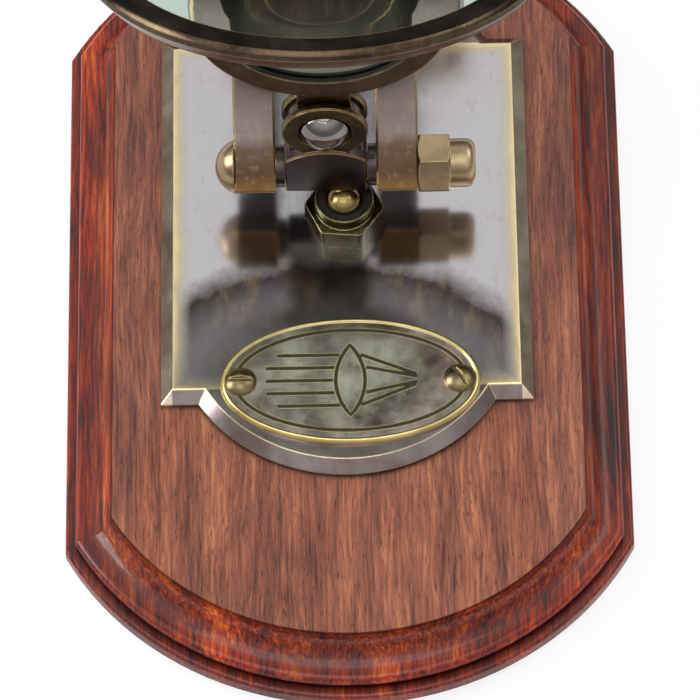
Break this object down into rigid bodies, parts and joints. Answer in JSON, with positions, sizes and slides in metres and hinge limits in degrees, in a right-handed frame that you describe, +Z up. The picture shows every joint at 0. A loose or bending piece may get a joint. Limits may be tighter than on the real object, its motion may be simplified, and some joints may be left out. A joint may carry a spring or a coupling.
{
  "type": "desk magnifier",
  "caption": "Desk magnifier: moulded wooden base with a brass plate, ball socket, a leaning two-bar arm, a small upright lens and a large round lens in brass rings.",
  "frame": {"origin": "centre of the underside of the felt under the base", "axes": "+X to the reader's right, -Y towards the reader, +Z up"},
  "size_m": [0.128, 0.2152, 0.1676],
  "materials": {
    "wood": "varnished red-brown rosewood",
    "felt": "green felt",
    "plate_brass": "antiqued, polished",
    "aged_brass": "antiqued, edges worn bright",
    "dark_brass": "dark patina",
    "steel": "plain zinc plated",
    "glass": "clear, polished"
  },
  "bodies": {
    "base": {"wood_base": "wood", "felt_pad": "felt", "base_plate": "plate_brass", "name_plate": "plate_brass", "plate_screw_left": "aged_brass", "plate_screw_right": "aged_brass", "post_stud": "steel", "post_washer": "steel", "post_nut": "steel", "socket_nut": "aged_brass"},
    "cup": {"seat_cup": "aged_brass"},
    "knuckle": {"ball_stud": "aged_brass", "knuckle_block": "dark_brass", "small_pivot_screw": "dark_brass"},
    "small_glass": {"small_neck": "dark_brass", "small_ring": "dark_brass", "small_lens": "glass", "small_retainer": "aged_brass"},
    "arms": {"arm_left": "aged_brass", "arm_right": "aged_brass", "lower_bolt": "aged_brass", "lower_nut": "aged_brass", "lower_spacer_left": "dark_brass", "lower_spacer_right": "dark_brass", "upper_bolt": "aged_brass", "upper_nut": "aged_brass", "upper_spacer_left": "dark_brass", "upper_spacer_right": "dark_brass"},
    "head": {"head_knuckle": "dark_brass", "large_pivot_screw": "dark_brass"},
    "large_glass": {"large_neck": "dark_brass", "large_ring": "dark_brass", "large_lens": "glass", "large_retainer": "aged_brass", "ring_screw": "aged_brass"}
  },
  "joints": [
    {"name": "base_swivel", "type": "hinge", "parent": "base", "child": "cup", "pos_m": [0, 0.012, 0.0263], "axis": [0, 0, 1], "continuous": true},
    {"name": "base_lean", "type": "hinge", "parent": "cup", "child": "knuckle", "pos_m": [0, 0.012, 0.0263], "axis": [1, 0, 0], "range_deg": [-8, 8]},
    {"name": "small_swing", "type": "hinge", "parent": "knuckle", "child": "small_glass", "pos_m": [-0.0039, 0.0166, 0.0538], "axis": [0, 1, 0], "range_deg": [-45, 45]},
    {"name": "arm_tilt", "type": "hinge", "parent": "knuckle", "child": "arms", "pos_m": [-0.0039, 0.0166, 0.0351], "axis": [1, 0, 0], "range_deg": [-20, 18]},
    {"name": "head_tilt", "type": "hinge", "parent": "arms", "child": "head", "pos_m": [-0.0039, 0.10305, 0.09017], "axis": [1, 0, 0], "range_deg": [-120, 0]},
    {"name": "large_swing", "type": "hinge", "parent": "head", "child": "large_glass", "pos_m": [-0.0039, 0.08621, 0.09831], "axis": [0, 0.4352, 0.9003], "range_deg": [-50, 50]}
  ]
}
